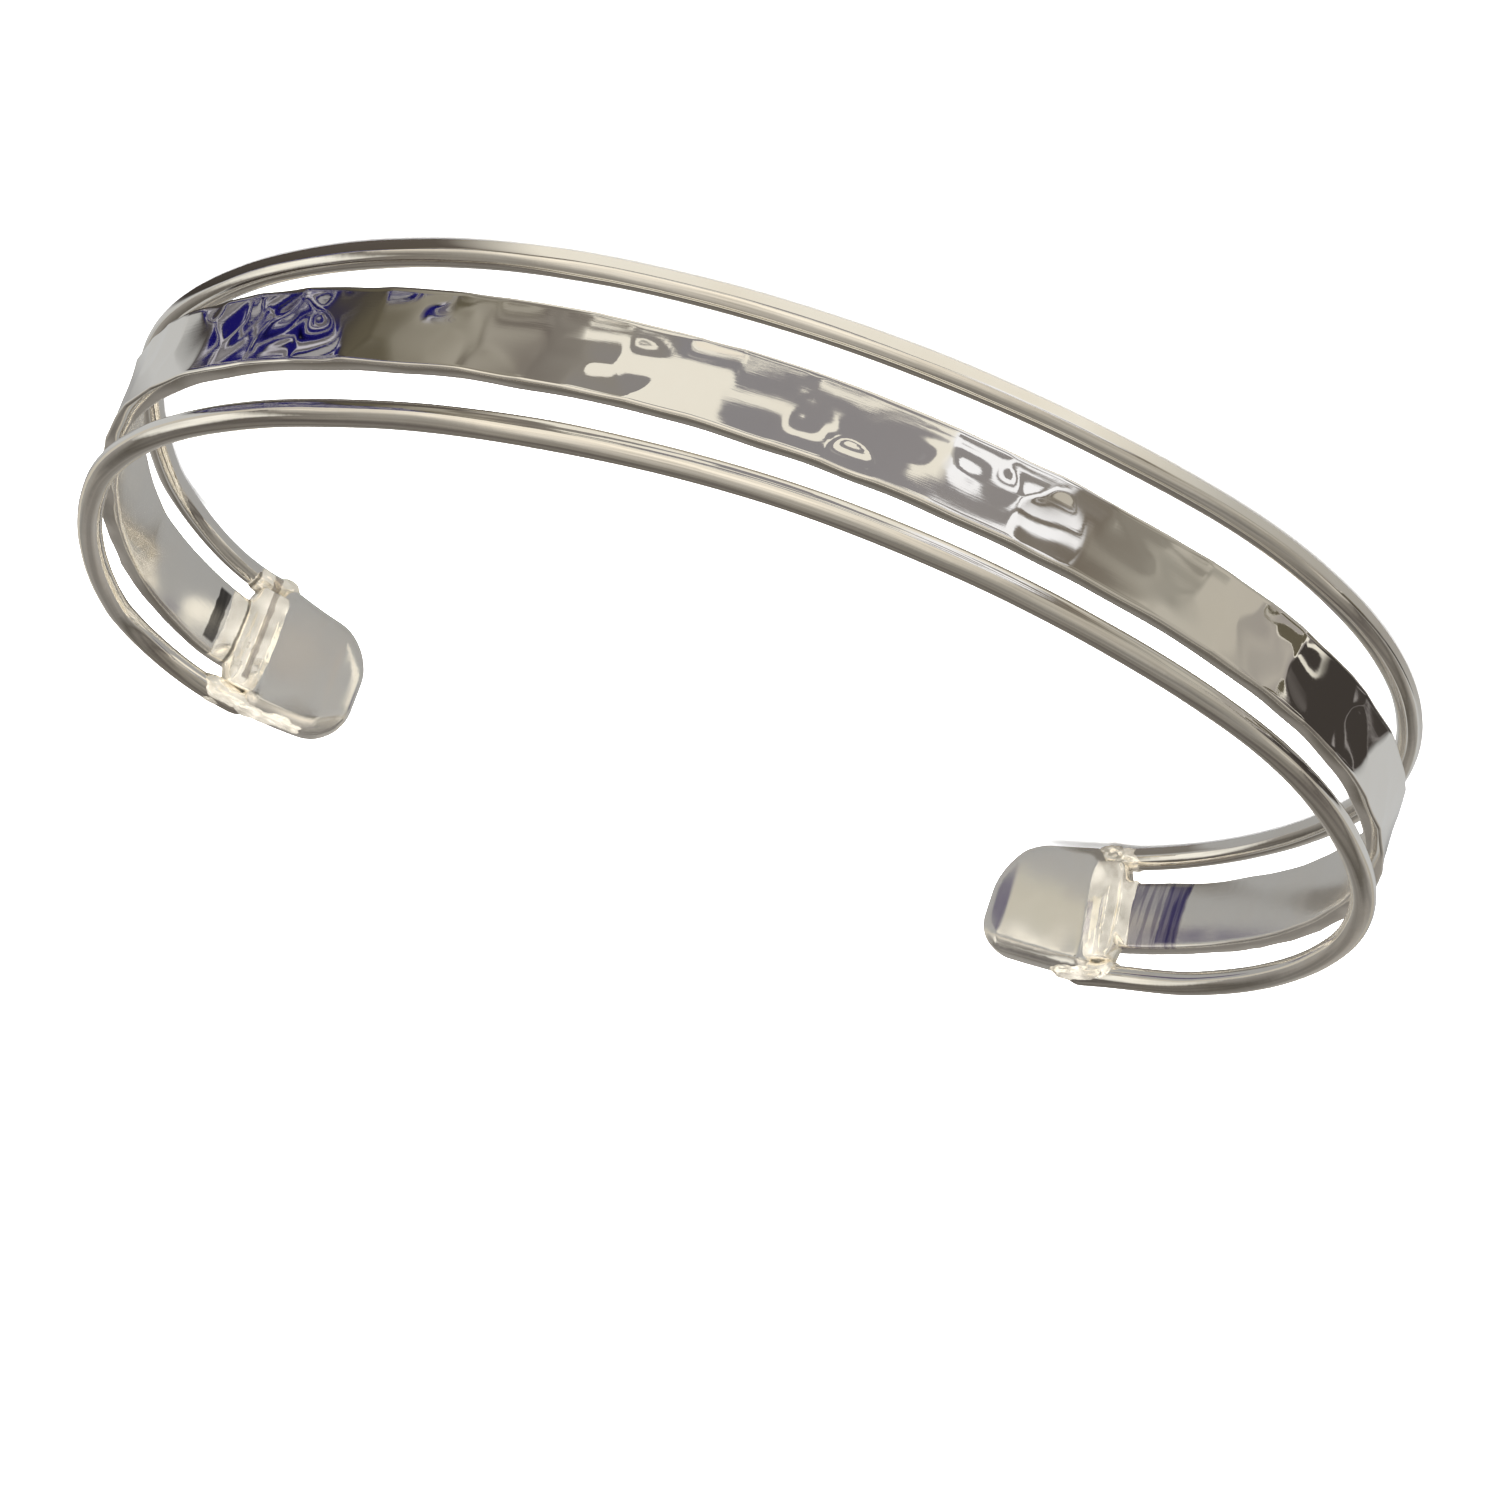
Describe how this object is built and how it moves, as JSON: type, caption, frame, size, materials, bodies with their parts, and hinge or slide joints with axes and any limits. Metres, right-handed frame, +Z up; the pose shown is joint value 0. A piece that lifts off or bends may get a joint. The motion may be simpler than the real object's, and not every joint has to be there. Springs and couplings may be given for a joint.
{
  "type": "cuff bracelet",
  "caption": "Open cuff bracelet in polished silver: a hammered band between two round edge wires, soldered to rounded end tabs, lying on its side.",
  "frame": {"origin": "middle of the cuff's footprint, on the surface that it lies on", "axes": "+Z up, along the wrist; the crown of the cuff faces -Y and the gap between the tabs faces +Y; +X is along the cuff's width"},
  "size_m": [0.0606, 0.0508, 0.0092],
  "materials": {
    "silver": "polished sterling silver, hammered on the band's outer face, satin inside"
  },
  "bodies": {
    "root": {"cuff": "silver"}
  },
  "joints": []
}
